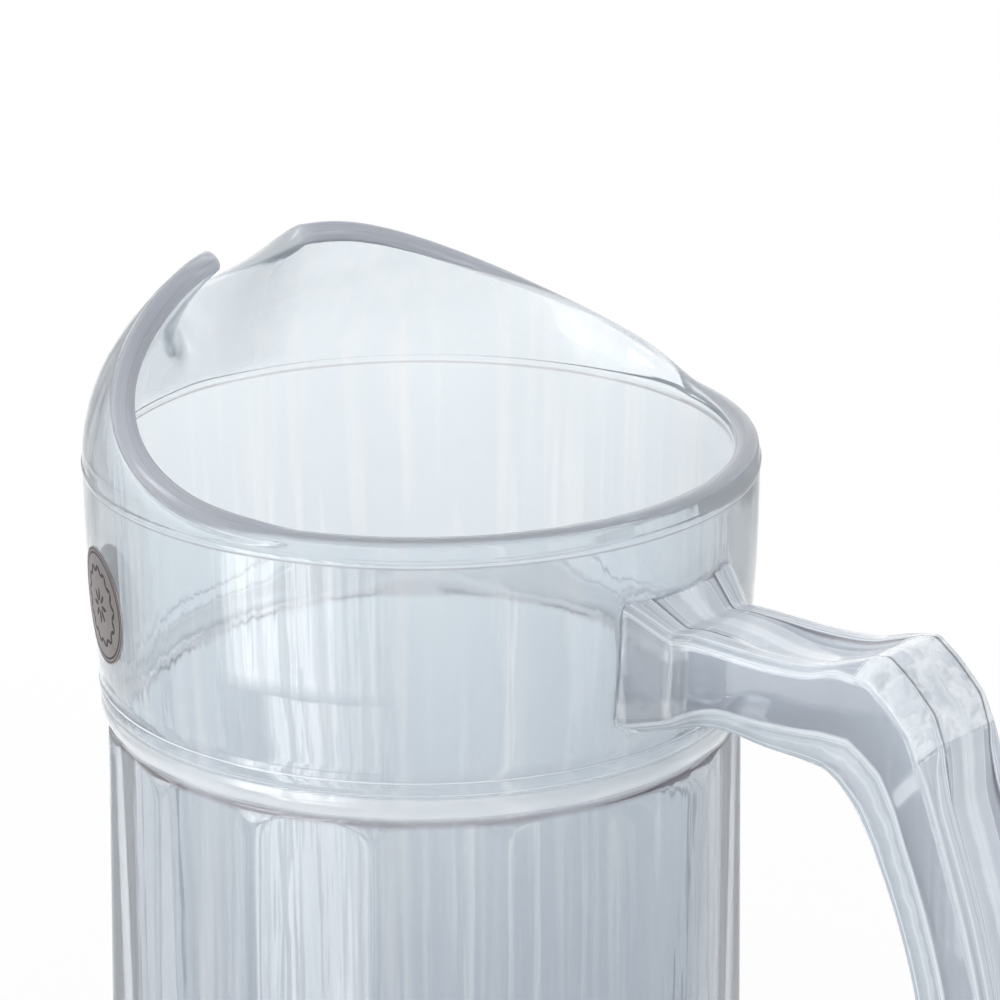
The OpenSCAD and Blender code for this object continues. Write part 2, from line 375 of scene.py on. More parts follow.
# %% Panels
press_inputs = {
    "Blank": ("Geometry", None),
    "Handle": ("Object", None),
    "Glass": ("Material", None),
    "Panels": ("Float", 16),
    "Panel depth": ("Float", 0.95 * mm),
    "Edge softness": ("Float", 0.3 * mm),
    "Body radius": ("Float", base_r),
    "Body taper": ("Float", (base_r - flute_top_r) / groove_z),
    "Wall": ("Float", wall_t),
    "Rim wall": ("Float", rim_t),
    "Root softness": ("Float", 1.0 * mm),
    **rim_inputs,
}
press_tree, into = new_tree("pressed_jug", press_inputs, ("Jug", "Geometry"))


def carried(name):
    """A value that the points of the blank carry."""
    return into["Panels"].node("GeometryNodeInputNamedAttribute", {"data_type": "FLOAT"}, {"Name": name})


jug_turn = carried("turn")
blank_place = jug_turn.node("GeometryNodeInputPosition")
blank_z = blank_place.node("ShaderNodeSeparateXYZ", sockets={"Vector": blank_place}, out="Z")
blank_r = blank_place.vector("MULTIPLY", (1, 1, 0)).vector("LENGTH", out="Value")
half_panel = into["Panels"].maths("POWER", -1) * math.pi
from_middle = jug_turn.maths("WRAP", half_panel, half_panel * -1)
behind_handle = jug_turn.maths("ABSOLUTE").maths("GREATER_THAN", math.pi - half_panel)
flat_r = into["Body radius"] - into["Panel depth"] - blank_z * into["Body taper"]
flat_r = flat_r / from_middle.maths("COSINE") + behind_handle * collar_r
pressed_r = blank_r.maths("SMOOTH_MIN", flat_r, into["Edge softness"])
on_body = on_circle(blank_r + carried("pressed") * (pressed_r - blank_r), jug_turn, blank_z)
print("panel nodes", len(press_tree.nodes))

# %% Rim
rim_share = carried("share")
turn_probe, share_probe = math.radians(0.1), 0.004


def wall_at(turn, share):
    """The middle of the rim wall, from the small group."""
    sizes = {label: into[label] for label in rim_sizes}
    return turn.node("GeometryNodeGroup", {"node_tree": wall_tree}, {"Turn": turn, "Share": share, **sizes})


up = wall_at(jug_turn, rim_share + share_probe).vector("SUBTRACT", wall_at(jug_turn, rim_share - share_probe))
up = up.vector("NORMALIZE")
along = wall_at(jug_turn + turn_probe, rim_share).vector("SUBTRACT", wall_at(jug_turn - turn_probe, rim_share))
out_of_wall = up.vector("CROSS_PRODUCT", along).vector("NORMALIZE")
half_wall = (into["Wall"] + (into["Rim wall"] - into["Wall"]) * rim_share) * 0.5 * carried("side")
over_crown = into["Crown height"] * carried("crown")
off_middle = out_of_wall.vector("MULTIPLY", half_wall).vector("ADD", up.vector("MULTIPLY", over_crown))
on_rim = wall_at(jug_turn, rim_share).vector("ADD", off_middle)
moved = on_rim.node("ShaderNodeMix", {"data_type": "VECTOR"}, {0: carried("rim"), 4: on_body, 5: on_rim}, out=1)
vessel = moved.node("GeometryNodeSetPosition", sockets={"Geometry": into["Blank"], "Position": moved})
print("nodes with the rim", len(press_tree.nodes))

# %% [markdown]
# ## The handle
# The handle is one heavy bar of glass: a root that spreads flat on the collar, an arm with a hollow on top, a
# bevelled elbow, a bowed grip and a lower root. Its section changes all the way, so it is lofted through sections
# along its own plane. Each station gives an outer and an inner point as shares of the reach and the height, then the
# width, the straight part of the side, the hollow and the bevel. A subdivision surface would melt the flat faces
# together, so the sections have their own narrow round edges, and the stations are straight at the root and the
# elbow and smooth elsewhere.

# %% Handle stations
handle_reach, handle_h, handle_top_z = 77 * mm, 142.75 * mm, 173.25 * mm
handle_w, trough_depth, handle_bevel = 23 * mm, 1.8 * mm, 1.2 * mm
station_shares = np.array([
    [-0.060, -0.040, -0.060, 0.150, 1.42, 0.88, 0, 1],
    [-0.010, -0.030, -0.010, 0.150, 1.34, 0.88, 0, 1],
    [0.073, 0.004, 0.063, 0.140, 1.02, 0.86, 0, 1],
    [0.122, 0.000, 0.115, 0.131, 0.98, 0.80, 0, 1],
    [0.220, 0.000, 0.200, 0.127, 0.98, 0.68, 0.2, 1],
    [0.335, 0.000, 0.305, 0.133, 0.98, 0.64, 1, 1],
    [0.455, -0.005, 0.408, 0.135, 0.98, 0.61, 1, 1],
    [0.545, -0.020, 0.474, 0.140, 0.98, 0.59, 0.8, 1],
    [0.600, -0.030, 0.505, 0.150, 1.00, 0.57, 0, 2.4],
    [0.645, -0.035, 0.524, 0.160, 1.00, 0.55, 0, 3.0],
    [0.705, -0.012, 0.543, 0.171, 1.00, 0.53, 0, 3.0],
    [0.770, 0.022, 0.564, 0.185, 1.00, 0.50, 0, 3.0],
    [0.797, 0.060, 0.581, 0.200, 1.00, 0.48, 0, 2.6],
    [0.803, 0.085, 0.600, 0.218, 0.98, 0.46, 0, 1.6],
    [0.824, 0.125, 0.619, 0.239, 0.98, 0.45, 0.8, 1],
    [0.864, 0.180, 0.652, 0.276, 0.98, 0.45, 1, 1],
    [0.915, 0.255, 0.692, 0.329, 0.98, 0.45, 1, 1],
    [0.968, 0.355, 0.732, 0.400, 0.98, 0.45, 1, 1],
    [0.998, 0.465, 0.753, 0.478, 0.98, 0.45, 1, 1],
    [0.995, 0.580, 0.748, 0.562, 0.98, 0.45, 1, 1],
    [0.945, 0.690, 0.704, 0.645, 0.98, 0.46, 1, 1],
    [0.830, 0.790, 0.620, 0.712, 0.98, 0.47, 1, 1],
    [0.655, 0.870, 0.495, 0.766, 0.98, 0.49, 1, 1],
    [0.430, 0.930, 0.335, 0.808, 0.98, 0.52, 0.7, 1],
    [0.200, 0.965, 0.158, 0.834, 1.00, 0.58, 0, 1],
    [0.050, 0.985, 0.040, 0.840, 1.10, 0.66, 0, 1],
    [-0.060, 1.000, -0.060, 0.815, 1.25, 0.70, 0, 1],
])
row_steps, straight_rows, smoothings = 8, {0, 1, 2, 7, 8, 9, 10, 11, 12, 13}, 2


def between(rows):
    """Stations through the rows: straight from row to row in some stretches, on a smooth curve in the others."""
    found = []
    for i in range(len(rows) - 1):
        a, b, c, d = (rows[min(max(k, 0), len(rows) - 1)] for k in (i - 1, i, i + 1, i + 2))
        for t in np.arange(row_steps) / row_steps:
            if i in straight_rows:
                found.append(b + t * (c - b))
            else:
                found.append(b + t / 2 * (c - a + t * (2 * a - 5 * b + 4 * c - d + t * (3 * (b - c) + d - a))))
    found = np.array(found + [rows[-1]])
    for _ in range(smoothings):
        found[1:-1] = (found[:-2] + 2 * found[1:-1] + found[2:]) / 4
    return found


stations = between(station_shares)
print("handle stations", len(stations))

# %% Handle section
trough_share, trough_floor_share, inner_width_share, inner_round_share = 0.62, 0.46, 0.64, 0.80
edge_round, edge_steps = 0.7 * mm, 3


def round_corners(corners):
    """A line of points with a small curve at each inner corner, and two on each straight run to keep it flat."""
    corners = np.array(corners)
    curves = [[corners[0]]]
    for before, corner, after in zip(corners, corners[1:], corners[2:]):
        back, on = before - corner, after - corner
        cut = min(edge_round, 0.45 * np.linalg.norm(back), 0.45 * np.linalg.norm(on))
        first, last = corner + back / np.linalg.norm(back) * cut, corner + on / np.linalg.norm(on) * cut
        turns = np.arange(edge_steps + 1) / edge_steps
        curves.append([(1 - t) ** 2 * first + 2 * t * (1 - t) * corner + t * t * last for t in turns])
    found = curves[0]
    for curve, following in zip(curves, [*curves[1:], [corners[-1]]]):
        run = following[0] - curve[-1]
        found = [*found, curve[-1] + run * 0.1, curve[-1] + run * 0.9, *following]
    return found


def handle_section(station):
    """One ring of points round the handle."""
    outer_x, outer_z, inner_x, inner_z, width, side, trough, bevel = station
    outer = np.array([collar_r + handle_reach * outer_x, handle_top_z - handle_h * outer_z])
    inner = np.array([collar_r + handle_reach * inner_x, handle_top_z - handle_h * inner_z])
    depth = np.linalg.norm(inner - outer)
    down = (inner - outer) / depth
    w, hollow, cut = handle_w / 2 * width, max(trough_depth * trough, 0), handle_bevel * bevel
    lower_w, lower = w * (1 + (inner_width_share - 1) * inner_round_share), side + (1 - side) * inner_round_share
    half = round_corners([
        (0, hollow),
        (w * trough_floor_share, hollow),
        (w * trough_share, 0),
        (w - cut, 0),
        (w, cut),
        (w, depth * side),
        (lower_w, depth * lower),
        (w * inner_width_share * inner_round_share, depth),
        (0, depth),
    ])
    ring = list(half) + [(-y, d) for y, d in reversed(half[1:-1])]
    return [(outer[0] + down[0] * d, y, outer[1] + down[1] * d) for y, d in ring]


print("points round the handle", len(handle_section(stations[0])))

# %% [markdown]
# ## Marks on the handle
# The handle's light and shade are painted on it as marks: pale lines along its edges and some faces are painted
# highlights, a dark line at the rim of the hollow is painted shade, and a pale dapple on the outer face of the elbow
# is painted glints. Painting such marks in a texture would need a map laid round the bar. The loft knows its own
# corners and stations, so each point simply carries how much of each mark it has.

# %% Handle marks
# Painted highlights on the runs and corners of each section, and painted shade lines at two corners.
run_glints = (0.85, 0.4, 0.6, 0.25, 0, 1, 0.9, 0.8)
corner_glints = (0.3, 0.9, 1, 1, 1, 0.9, 0.8)
corner_painted_shade = (0, 0.9, 0, 0, 0.3, 0, 0)
root_steps, cap_first, cap_last, outer_points = 24, 64, 96, 23
half_glints, half_painted_shade = [run_glints[0]], [0]
for before, corner, after, dark in zip(run_glints, corner_glints, run_glints[1:], corner_painted_shade):
    half_glints += [before, before, before, corner, corner, after]
    half_painted_shade += [0, dark, dark, 0, 0, 0]
half_glints, half_painted_shade = half_glints + [run_glints[-1]] * 3, half_painted_shade + [0] * 3
ring_glints, ring_painted_shade = (half + half[-2:0:-1] for half in (half_glints, half_painted_shade))
half_count, ring_count = len(half_glints), len(ring_glints)
laps = np.abs((np.arange(ring_count) + half_count - 1) % ring_count - half_count + 1) / half_count
outer_face = laps < outer_points / half_count
station_steps = np.arange(len(stations))[:, None]
# The root gets painted highlights all over, and the cap marks where the elbow's dapple is painted.
handle_marks = {
    "edge": np.maximum(ring_glints, np.where(station_steps < root_steps, 0.5, 0)),
    "line": np.tile(ring_painted_shade, (len(stations), 1)),
    "cap": (station_steps > cap_first) * (station_steps < cap_last) * outer_face,
    "lap": np.tile(laps, (len(stations), 1)),
    "bar": np.ones((len(stations), ring_count)),
}
# Painted highlight lines across the root and at both ends of the elbow's dapple.
handle_marks["edge"][[2 * row_steps, 3 * row_steps]] = 0.9
for cap_end in (cap_first, cap_last):
    handle_marks["edge"][cap_end, outer_face] = 0.8
print("marks on", ring_count, "points of each ring")


# %% Handle loft
def loft(name, rings, marks):
    """A closed skin over rings of points, ending in two flat faces."""
    count = len(rings[0])
    faces = [
        (i * count + j, i * count + (j + 1) % count, (i + 1) * count + (j + 1) % count, (i + 1) * count + j)
        for i in range(len(rings) - 1)
        for j in range(count)
    ]
    faces += [tuple(range(count))[::-1], tuple((len(rings) - 1) * count + j for j in range(count))]
    mesh = new_mesh(name, [point for ring in rings for point in ring], faces, marks)
    shape = bmesh.new()
    shape.from_mesh(mesh)
    bmesh.ops.recalc_face_normals(shape, faces=shape.faces)
    shape.to_mesh(mesh)
    shape.free()
    return link(name, mesh)


handle = loft("handle_form", [handle_section(station) for station in stations], handle_marks)
print("handle has", len(handle.data.polygons), "faces")

# %% [markdown]
# ## One piece of glass
# Vessel and handle are one melt, and light bends at every surface that it crosses, so no wall may be left inside the
# glass. The tree joins the two closed forms and then relaxes the points near both surfaces, which leaves the small
# soft corner that a mould has at the roots of a handle. A Bevel modifier would need clean edge loops there, and a
# boolean leaves none.

# %% Join and soften
bar = vessel.node("GeometryNodeObjectInfo", {"transform_space": "RELATIVE"}, {"Object": into["Handle"]}, "Geometry")
joined = vessel.node(
    "GeometryNodeMeshBoolean", {"operation": "UNION", "solver": "MANIFOLD"}, {"Mesh 2": [vessel, bar]}
)


def distance_to(wire):
    """How far a point is from a form."""
    return wire.node("GeometryNodeProximity", {"target_element": "FACES"}, {"Geometry": wire}, "Distance")


from_root = distance_to(vessel).maths("MAXIMUM", distance_to(bar))
near_root = 1 - smooth_step(from_root / into["Root softness"])
joined_place = joined.node("GeometryNodeInputPosition")
relaxed = joined_place.node(
    "GeometryNodeBlurAttribute",
    {"data_type": "FLOAT_VECTOR"},
    {"Value": joined_place, "Iterations": 3, "Weight": near_root},
)
finished(joined.node("GeometryNodeSetPosition", sockets={"Geometry": joined, "Position": relaxed}), into["Glass"])
print("nodes in the pressed jug", len(press_tree.nodes))

# %% [markdown]
# ## Clear glass
# Bar glass is clear with a faint cool cast. It could be one Glass BSDF, but this finish paints light and shade on it
# from place to place: painted shade in the groove and on the crown, a painted highlight on the bead, both on the
# milky handle. So the finish starts with where a point is, from its place in the jug and from the values that the
# mesh carries.


# %% Finish helpers
def new_finish(name):
    """A material with an empty tree, and a wire to start from."""
    made = bpy.data.materials.new(name)
    made.use_nodes = True
    made.node_tree.nodes.clear()
    return made, Wire(made.node_tree)


def close_finish(surface, volume=None, kind="ShaderNodeOutputMaterial"):
    """Ends a tree in its output."""
    output = surface.tree.nodes.new(kind)
    surface.tree.links.new(surface.socket, output.inputs["Surface"])
    if volume is not None:
        volume.tree.links.new(volume.socket, output.inputs["Volume"])


def stored(wire, name):
    """A value that the mesh carries."""
    return wire.node("ShaderNodeAttribute", {"attribute_name": name}, out="Fac")


def noise(place, scale, detail, roughness=0.5):
    """Soft random patches."""
    sockets = {"Vector": place, "Scale": scale, "Detail": detail, "Roughness": roughness}
    return place.node("ShaderNodeTexNoise", sockets=sockets)


def lines_along(value):
    """Soft random lines along one value."""
    return value.node("ShaderNodeTexNoise", {"noise_dimensions": "1D"}, {"W": value, "Scale": 1, "Detail": 2})


def scaled(place, x, y, z):
    """Places scaled on each axis, which stretches what is drawn on them."""
    return place.node("ShaderNodeMapping", sockets={"Vector": place, "Scale": (x, y, z)})


def ramp(value, low, high):
    """A share that goes from 0 at one value to 1 at another."""
    return value.node("ShaderNodeMapRange", sockets={"Value": value, "From Min": low, "From Max": high})


def tint(share, first, second):
    """One colour or the other by a share of the way."""
    return share.node("ShaderNodeMix", {"data_type": "RGBA"}, {0: share, 6: first, 7: second}, out=2)


def mixed(share, first, second):
    """One shader or the other by a share of the way."""
    return share.node("ShaderNodeMixShader", sockets={0: share, 1: first, 2: second})


white = (1, 1, 1, 1)
print("finish helpers ready")

# %% Places on the glass
clear_glass, glass = new_finish("clear_glass")
where = glass.node("ShaderNodeTexCoord", out="Object")
across = where.node("ShaderNodeSeparateXYZ", sockets={"Vector": where})
up_jug = across.twin("Z")
outer_r = where.vector("MULTIPLY", (1, 1, 0)).vector("LENGTH", out="Value")
on_handle = smooth_step((across - 64 * mm) / (3 * mm)).maths("MAXIMUM", stored(glass, "bar"))
on_crown = smooth_step(stored(glass, "crown") * 1.6)
# edge carries painted highlights and line painted shade, both from the handle's marks.
painted_edge_glints, on_cap, painted_shade_line, lap = (stored(glass, name) for name in ("edge", "cap", "line", "lap"))


def round_band(z, half_width, softness, least_r=60.2 * mm):
    """A band round the outside of the vessel, with soft edges."""
    band = 1 - smooth_step(((up_jug - z).maths("ABSOLUTE") - half_width) / softness)
    return band * outer_r.maths("GREATER_THAN", least_r) * (1 - on_handle)


# The dark line in the groove is painted shade.
painted_groove_shade = round_band(groove_z + 0.2 * mm, 0, 1.5 * mm, 58.5 * mm)
# The white of the bead is a painted highlight.
painted_bead_highlight = round_band(groove_z + 3.4 * mm, 1.6 * mm, 1.0 * mm, 59.8 * mm)
# Two pale lines on the ledge are painted glints.
painted_ledge_glints = round_band(bead_z + 0.3 * mm, 0, 0.4 * mm) + round_band(bead_z + 2.8 * mm, 0, 0.3 * mm)
# The dark line under the rim is painted shade.
painted_line_under_rim = round_band(mould_z - 1.7 * mm, 0, 0.35 * mm)
print("glass nodes for places", len(clear_glass.node_tree.nodes))

# %% [markdown]
# ## Waves, draw lines and haze
# The skin is fire polished but never quite even: broad shallow waves from the press, fine draw lines up the wall, a
# dapple of small pads on the elbow and a trace of haze where hands and cloths go. Modelling them would take millions
# of faces, so a Bump node bends the shading instead. The draw lines are a noise stretched along the height. They
# fade out over the floor, where a stretched noise would only speckle.

# %% Waves and haze
wave_strength, wave_depth, pad_depth = 0.4, 0.6 * mm, 8
broad = noise(where, 38, 2, 0.4)
drawn = noise(scaled(where, 1, 1, 0.06), 150, 3, 0.55)
off_floor = smooth_step((up_jug - 13 * mm) / (5 * mm))
dapple = noise(where, 240, 2)
wobble = dapple.twin("Color").vector("MULTIPLY", (0.009, 0.009, 0.009))
pads = where.node(
    "ShaderNodeTexVoronoi",
    {"feature": "DISTANCE_TO_EDGE"},
    {"Vector": where.vector("ADD", wobble), "Scale": 120},
    "Distance",
)
relief = broad * 0.5 + drawn * 0.5 * off_floor + pads.maths("MINIMUM", 0.25) * on_cap * pad_depth
waves = relief.node("ShaderNodeBump", sockets={"Strength": wave_strength, "Distance": wave_depth, "Height": relief})
haze = 0.015 + noise(where, 22, 5, 0.6) * 0.02 + drawn * 0.03 * (1 - on_handle) + on_crown * 0.12
print("glass nodes with the waves", len(clear_glass.node_tree.nodes))

# %% [markdown]
# ## The clear skin
# The cast grows darker towards the bottom and is broken by pale upright streaks, which are painted light. The bead's
# white is a painted highlight, and the dark groove, the dark line under the rim and the dark lines on the handle are
# painted shade. The way through the glass adds its own cast, as an absorption in the volume, so that thick glass is
# deeper than thin.

# %% Clear skin
high_cast, low_cast, handle_cast = (0.92, 0.97, 1.0, 1), (0.66, 0.70, 0.75, 1), (0.90, 0.95, 1.0, 1)
painted_shade_cast, depth_cast, depth_density = (0.36, 0.29, 0.30, 1), (0.70, 0.74, 0.78, 1), 25.0
# Pale upright streaks in the cast are painted light.
painted_light_streaks = smooth_step((noise(scaled(where, 1, 1, 0.02), 260, 2) - 0.52) * 6)
# Painted shade: the groove, the handle's dark lines and the line under the rim take the dark cast.
painted_dark_lines = (painted_groove_shade * 0.75).maths("MAXIMUM", painted_shade_line).maths("MAXIMUM", painted_line_under_rim * 0.7)
cast = tint(ramp(up_jug, mould_z, 60 * mm), high_cast, low_cast)
cast = tint(painted_light_streaks * 0.7, cast, white)
cast = tint(painted_bead_highlight, cast, white)
cast = tint(on_handle, cast, handle_cast)
cast = tint(painted_dark_lines, cast, painted_shade_cast)
clear_skin = where.node(
    "ShaderNodeBsdfPrincipled",
    sockets={"Base Color": cast, "Roughness": haze, "IOR": 1.5, "Transmission Weight": 0.85, "Normal": waves},
)
depth = where.node("ShaderNodeVolumeAbsorption", sockets={"Color": depth_cast, "Density": depth_density})
print("glass nodes with the clear skin", len(clear_glass.node_tree.nodes))

# %% [markdown]
# ## The crown's painted shade
# The top of the rim is matt, and a grey is painted along it in lines: the grey is painted shade. It is weakest at
# the lip, where it turns nearly white as a painted highlight, and by the handle. A second shader mixed in by the
# crown's own value gives this, with the lines drawn over the rim from one side of the wall to the other.

# %% Crown shade
from_lip = stored(glass, "away")
off_lip = smooth_step((from_lip - math.radians(13)) * 9)
matt_share = 1 - smooth_step((from_lip - math.radians(85)) * 2) * 0.55
rim_lines = lines_along(stored(glass, "side") * 5 + broad)
# The crown's grey is painted shade, and its white at the lip is a painted highlight.
crown_painted_shade_and_light = tint(rim_lines, (0.36, 0.36, 0.41, 1), (0.62, 0.65, 0.72, 1))
crown_painted_shade_and_light = tint(1 - off_lip, crown_painted_shade_and_light, (0.96, 0.98, 1.0, 1))
crown_painted_skin = where.node("ShaderNodeBsdfPrincipled", sockets={"Base Color": crown_painted_shade_and_light, "Roughness": 0.3})
crown_painted_share = on_crown * matt_share * (0.35 + off_lip * 0.65) * (0.45 + broad * 0.25)
skin = mixed(crown_painted_share, clear_skin, crown_painted_skin)
print("glass nodes with the crown", len(clear_glass.node_tree.nodes))

# %% [markdown]
# ## Milky glass
# The thick handle looks milky. The grey of its milk is painted darker down towards the grip, which is painted shade,
# and its pale edges and the pale dapple of its elbow are painted highlights. The bead, the fine lines of the ledge
# and the lip get a little pale milk as painted light too. Scattering in the volume is slow and grainy. A coated matt
# shader mixed into the clear one looks the same from outside.

# %% Milky glass
lap_lines = smooth_step((lines_along(lap * 60 + dapple * 0.5) - 0.35) * 3.3)
pad_seams = 1 - smooth_step(pads * 5)
# Pale painted light on the lip, laid over the lip's dark shading.
painted_lip_light = stored(glass, "rim") * (1 - smooth_step((from_lip - math.radians(8)) * 3))
# Pale painted highlights: along the handle's edges, on the bead and on the ledge lines.
painted_pale_highlights = painted_edge_glints * (0.5 + lap_lines * 0.6) + painted_bead_highlight + painted_ledge_glints
# Pale painted glints on the elbow's dapple; the pads' relief itself is a bump.
painted_cap_glints = on_cap * (0.35 + dapple * 0.8 + pad_seams * 0.3)
pale = painted_pale_highlights.maths("MAXIMUM", painted_cap_glints).maths("MAXIMUM", painted_lip_light * 0.9)
# The milk's grey is painted darker towards the grip as painted shade, and pale where highlights are painted.
milk_shade_and_highlight_tint = tint(ramp(up_jug, 165 * mm, 105 * mm), (0.54, 0.59, 0.68, 1), (0.44, 0.48, 0.56, 1))
milk_shade_and_highlight_tint = tint(pale, milk_shade_and_highlight_tint, (0.90, 0.96, 1.0, 1))
milky_skin = where.node(
    "ShaderNodeBsdfPrincipled",
    sockets={"Base Color": milk_shade_and_highlight_tint, "Roughness": 0.25, "Coat Weight": 1.0, "Normal": waves},
)
milk_share = on_handle * (0.38 + pale * 0.4) * (1 - painted_shade_line)
milk_share = milk_share.maths("MAXIMUM", painted_bead_highlight * 0.4 + painted_ledge_glints * 0.6).maths("MAXIMUM", painted_lip_light * 0.2)
close_finish(mixed(milk_share, skin, milky_skin), depth)
print("clear glass has", len(clear_glass.node_tree.nodes), "nodes")

# %% Press the jug
jug = through_tree("glass_jug", blank, press_tree, {"Handle": handle, "Glass": clear_glass})
bpy.data.objects.remove(handle)
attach(jug, "root")
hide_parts("base", "fluted_wall", "collar", "spout_rim", "handle")
triangles = sum(len(face.vertices) - 2 for face in jug.data.polygons)
print("glass jug has", len(jug.data.polygons), "faces,", triangles, "triangles")

# %% [markdown]
# ## The foil label
# A round foil label with a printed border sits on the collar. It is a thin disc that follows the glass, so the tree
# starts flat, sets leaves for a wreath and petals for a rosette on circles, and bends everything round the collar in
# one move. A ring number stored on the points lets the finish print the border lines.

# %% Flat label
label_r, label_t, label_gap = 11 * mm, 0.17 * mm, 0.03 * mm
label_turn, label_z = math.radians(-118), mould_z - 23 * mm
label_rings = (0.1, 0.2, 0.35, 0.5, 0.62, 0.74, 0.84, 0.86, 0.88, 0.92, 0.94, 0.96, 0.985, 1)


def flat_disc(name, rings, spokes):
    """A closed flat disc of these rings, lying at height 0 with its thickness upwards."""
    turn = np.arange(spokes) * 2 * math.pi / spokes
    circle = np.stack([np.cos(turn), np.sin(turn), 0 * turn], 1)
    levels = [(share, 0) for share in rings] + [(share, label_t) for share in reversed(rings)]
    points = np.vstack([circle * r * label_r + (0, 0, z) for r, z in levels] + [[(0, 0, 0), (0, 0, label_t)]])
    beside, last, under = [(j + 1) % spokes for j in range(spokes)], len(points) - 2 - spokes, len(points) - 2
    faces = [
        (i * spokes + j, i * spokes + beside[j], (i + 1) * spokes + beside[j], (i + 1) * spokes + j)
        for i in range(len(levels) - 1)
        for j in range(spokes)
    ]
    faces += [(under, beside[j], j) for j in range(spokes)]
    faces += [(under + 1, last + j, last + beside[j]) for j in range(spokes)]
    return link(name, new_mesh(name, points.tolist(), faces))


label_blank = flat_disc("label_blank", label_rings, 96)
print("label blank has", len(label_blank.data.polygons), "faces")

# %% Label tree
label_inputs = {
    "Disc": ("Geometry", None),
    "Foil": ("Material", None),
    "Label radius": ("Float", label_r),
    "Leaves": ("Int", 26),
    "Petals": ("Int", 8),
    "Leaf length": ("Float", 1.15 * mm),
    "Label turn": ("Float", label_turn),
    "Label height": ("Float", label_z),
    "Gap": ("Float", label_gap),
}
label_tree, on = new_tree("foil_label", label_inputs, ("Label", "Geometry"))
leaf_number = 2.0


def with_ring(wire, value):
    """Stores the ring number that the finish reads."""
    sockets = {"Geometry": wire, "Name": "ring", "Value": value}
    return wire.node("GeometryNodeStoreNamedAttribute", {"data_type": "FLOAT"}, sockets)


def leaves_on_circle(count, circle_r, length, slant):
    """Small domed leaves round a circle, each slanted from the line to the middle."""
    circle = count.node("GeometryNodeMeshCircle", sockets={"Vertices": count, "Radius": circle_r})
    index = count.node("GeometryNodeInputIndex")
    spread = (index / count) * (2 * math.pi) + slant * (1 - 2 * index.maths("MODULO", 2))
    facing = count.node("ShaderNodeCombineXYZ", sockets={"Z": spread})
    leaf = count.node("GeometryNodeMeshUVSphere", sockets={"Segments": 10, "Rings": 6, "Radius": length})
    set_down = count.node(
        "GeometryNodeInstanceOnPoints",
        sockets={"Points": circle, "Instance": leaf, "Rotation": facing, "Scale": (1, 0.36, 0.05)},
    )
    leaves = count.node("GeometryNodeRealizeInstances", sockets={"Geometry": set_down})
    raised = leaves.node("GeometryNodeSetPosition", sockets={"Geometry": leaves, "Offset": (0, 0, label_t)})
    return with_ring(raised, leaf_number)


flat_place = on["Gap"].node("GeometryNodeInputPosition")
disc_ring = flat_place.vector("MULTIPLY", (1, 1, 0)).vector("LENGTH", out="Value") / on["Label radius"]
disc = with_ring(on["Disc"], disc_ring)
wreath = leaves_on_circle(on["Leaves"], on["Label radius"] * 0.64, on["Leaf length"], 0.9)
rosette = leaves_on_circle(on["Petals"], on["Label radius"] * 0.2, on["Leaf length"] * 1.15, 0.0)
flat_label = disc.node("GeometryNodeJoinGeometry", sockets={"Geometry": [disc, wreath, rosette]})
print("label nodes", len(label_tree.nodes))

# %% Bend the label
flat_x = flat_place.node("ShaderNodeSeparateXYZ", sockets={"Vector": flat_place})
bent_z = flat_x.twin("Y") + on["Label height"]
fall = ((mould_z - bent_z) * (1 / (mould_z - bead_z))).maths("POWER", draw_in)
bent_r = collar_r - fall * collar_drop + flat_x.twin("Z") + on["Gap"]
bent_turn = flat_x / collar_r + on["Label turn"]
bent_places = {"X": bent_r * bent_turn.maths("COSINE"), "Y": bent_r * bent_turn.maths("SINE"), "Z": bent_z}
bent = flat_x.node("ShaderNodeCombineXYZ", sockets=bent_places)
finished(bent.node("GeometryNodeSetPosition", sockets={"Geometry": flat_label, "Position": bent}), on["Foil"])
print("label nodes in all", len(label_tree.nodes))

# %% [markdown]
# ## Printed foil
# The label is satin metal foil with dark ink on it. Foil is never one grey: a mottle and a fine brushed grain change
# its colour and gloss and crinkle it a little, and the ink lies matt on the metal. The ring number says where ink is,
# so no picture is needed.

# %% Foil finish
pale_foil, dark_foil, ink_colour = (0.40, 0.37, 0.37, 1), (0.25, 0.215, 0.20, 1), (0.03, 0.022, 0.03, 1)
printed_foil, foil_tree = new_finish("printed_foil")
printed_ring = stored(foil_tree, "ring")


def line_at(share, half_width):
    """A printed line round the label."""
    return (printed_ring - share).maths("ABSOLUTE").maths("LESS_THAN", half_width)


ink = printed_ring.maths("GREATER_THAN", 1.5) + line_at(0.9, 0.02) + line_at(0.965, 0.012)
foil_place = foil_tree.node("ShaderNodeTexCoord", out="Object")
mottle = noise(foil_place, 420, 4, 0.6)
grain = noise(scaled(foil_place, 1, 1, 14), 500, 2)
crinkle = mottle.node(
    "ShaderNodeBump", sockets={"Strength": 0.25, "Distance": 0.05 * mm, "Height": mottle + grain * 0.5}
)
foil = mottle.node(
    "ShaderNodeBsdfPrincipled",
    sockets={
        "Base Color": tint(ink, tint(mottle, dark_foil, pale_foil), ink_colour),
        "Metallic": 0.85 - ink * 0.75,
        "Roughness": 0.34 + mottle * 0.12 + ink * 0.1,
        "Normal": crinkle,
    },
)
close_finish(foil)
label = through_tree("foil_label", label_blank, label_tree, {"Foil": printed_foil})
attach(label, "root")
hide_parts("label")
print("foil label has", len(label.data.polygons), "faces")

# %% [markdown]
# ## The floor
# Glass shows what is behind it, so a picture of glass is mostly a matter of what surrounds it. A bright field
# straight behind the jug with darker ground at both sides gives clear walls with dark edges, as in the photograph.
# The camera sees plain white. Light Path tells the two apart, and the floor keeps the jug's shadow.

